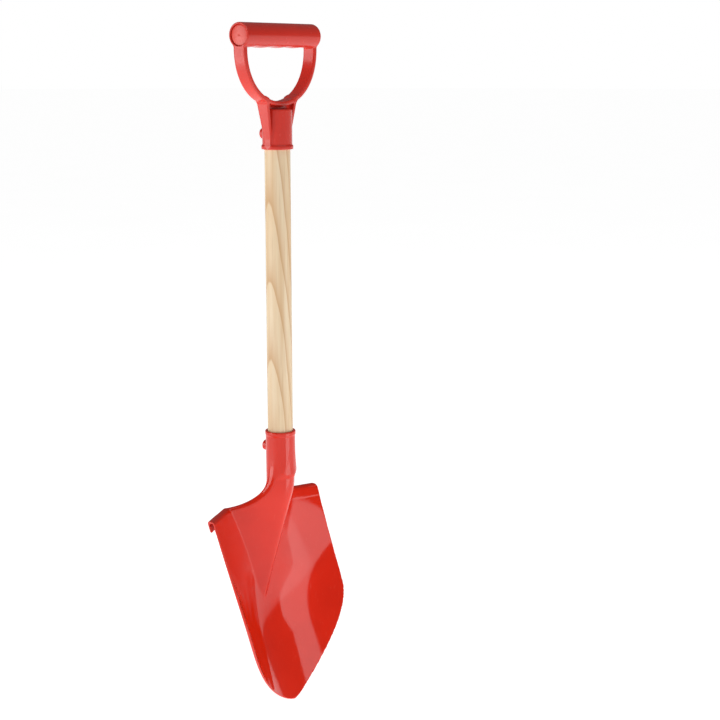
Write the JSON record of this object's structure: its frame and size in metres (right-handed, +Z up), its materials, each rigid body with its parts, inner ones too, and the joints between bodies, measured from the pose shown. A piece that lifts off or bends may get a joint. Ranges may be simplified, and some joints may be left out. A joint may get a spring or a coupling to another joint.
{
  "type": "child-size beach and digging shovel",
  "caption": "Child-size digging shovel: glossy moulded pointed blade with dished sheet and foot treads, round pine shaft and moulded D-shaped hand grip.",
  "frame": {"origin": "on the shaft axis at the underside of the crossbar, where a storage peg bears", "axes": "+Z up along the shaft, +X along the crossbar, +Y towards the back of the blade, so the open dish faces -Y"},
  "size_m": [0.1878, 0.0677, 0.7609],
  "materials": {
    "grip_plastic": "red moulded polypropylene, satin gloss",
    "plug_plastic": "red moulded polypropylene, satin gloss",
    "shaft_wood": "pale turned pine, sanded and clear sealed",
    "screw_steel": "bright zinc plated steel",
    "blade_plastic": "bright red moulded polypropylene, high gloss"
  },
  "bodies": {
    "root": {"grip": "grip_plastic", "grip_end_plug_left": "plug_plastic", "grip_end_plug_right": "plug_plastic", "shaft": "shaft_wood", "socket_screws": "screw_steel", "blade": "blade_plastic"}
  },
  "joints": []
}
